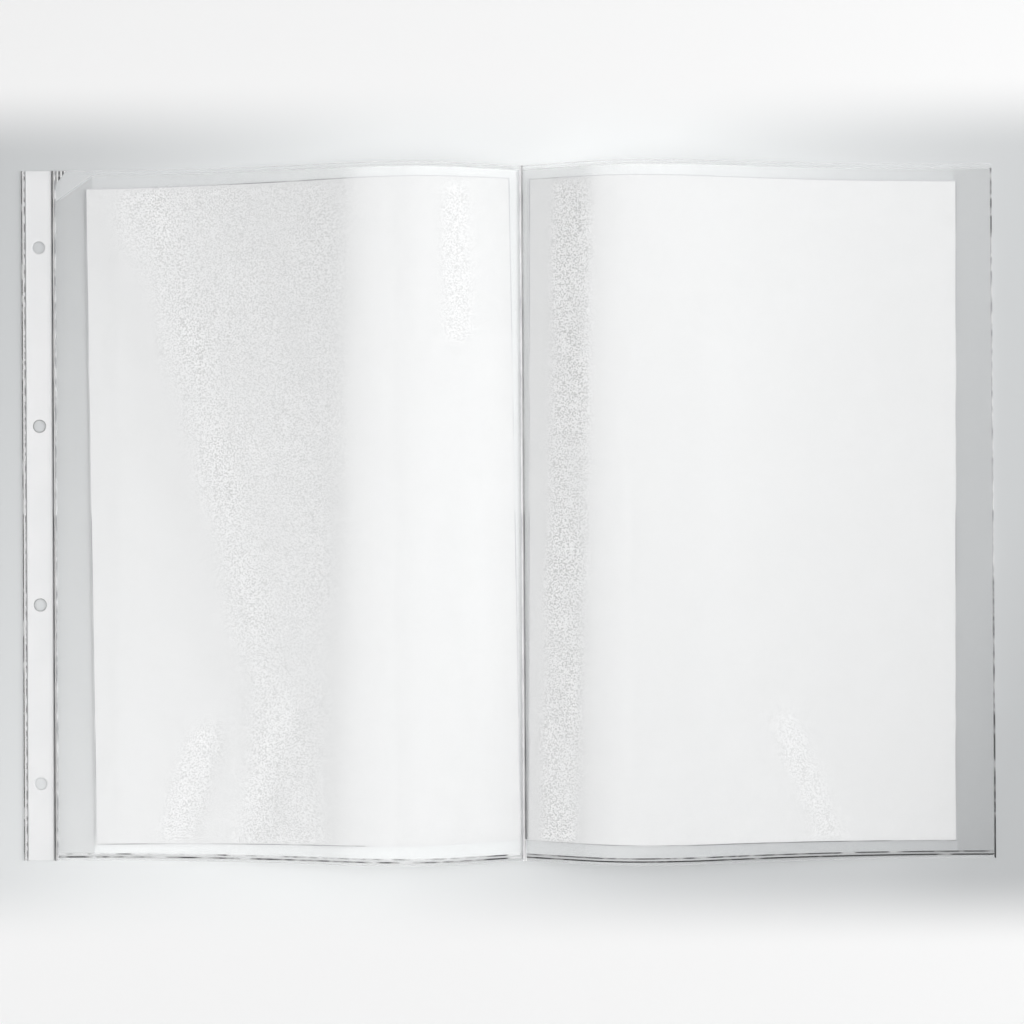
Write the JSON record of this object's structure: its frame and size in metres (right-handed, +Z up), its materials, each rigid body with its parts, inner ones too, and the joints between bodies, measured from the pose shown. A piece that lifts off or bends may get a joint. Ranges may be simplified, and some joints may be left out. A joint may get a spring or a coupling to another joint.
{
  "type": "sheet protector",
  "caption": "Fold-out double sheet protector: clear pockets joined by a folding centre weld, open at the top, with insert sheets and a white punched binding strip.",
  "frame": {"origin": "on the table, under the middle of the open spread", "axes": "+X across the spread from the binding strip to the folded edge, +Y up the page to the pocket mouths, +Z up from the table"},
  "size_m": [0.4334, 0.3084, 0.0162],
  "materials": {
    "clear_film": "satin",
    "weld": "gloss",
    "white_strip": "satin",
    "paper": "matte"
  },
  "bodies": {
    "binding_margin": {"binding_strip": "white_strip", "margin_back_film": "clear_film", "margin_front_film": "clear_film", "outer_edge_weld": "weld", "binding_weld": "weld"},
    "left_leaf": {"left_back_film": "clear_film", "left_front_film": "clear_film", "left_bottom_weld": "weld", "left_mouth_tack": "weld", "centre_weld": "weld"},
    "right_leaf": {"right_back_film": "clear_film", "right_front_film": "clear_film", "right_bottom_weld": "weld", "right_edge_bend": "clear_film"},
    "left_insert": {"left_insert_sheet": "paper"},
    "right_insert": {"right_insert_sheet": "paper"}
  },
  "joints": [
    {"name": "page_turn", "type": "hinge", "parent": "binding_margin", "child": "left_leaf", "pos_m": [-0.201, 0, 0.0012], "axis": [0, -1, 0], "range_deg": [0, 170]},
    {"name": "centre_fold", "type": "hinge", "parent": "left_leaf", "child": "right_leaf", "pos_m": [0.0083, 0, 0.00485], "axis": [0, -1, 0], "range_deg": [0, 142]},
    {"name": "left_insert_slide", "type": "slide", "parent": "left_leaf", "child": "left_insert", "axis": [0, 1, 0], "range_m": [0, 0.3]},
    {"name": "right_insert_slide", "type": "slide", "parent": "right_leaf", "child": "right_insert", "axis": [0, 1, 0], "range_m": [0, 0.3]}
  ]
}
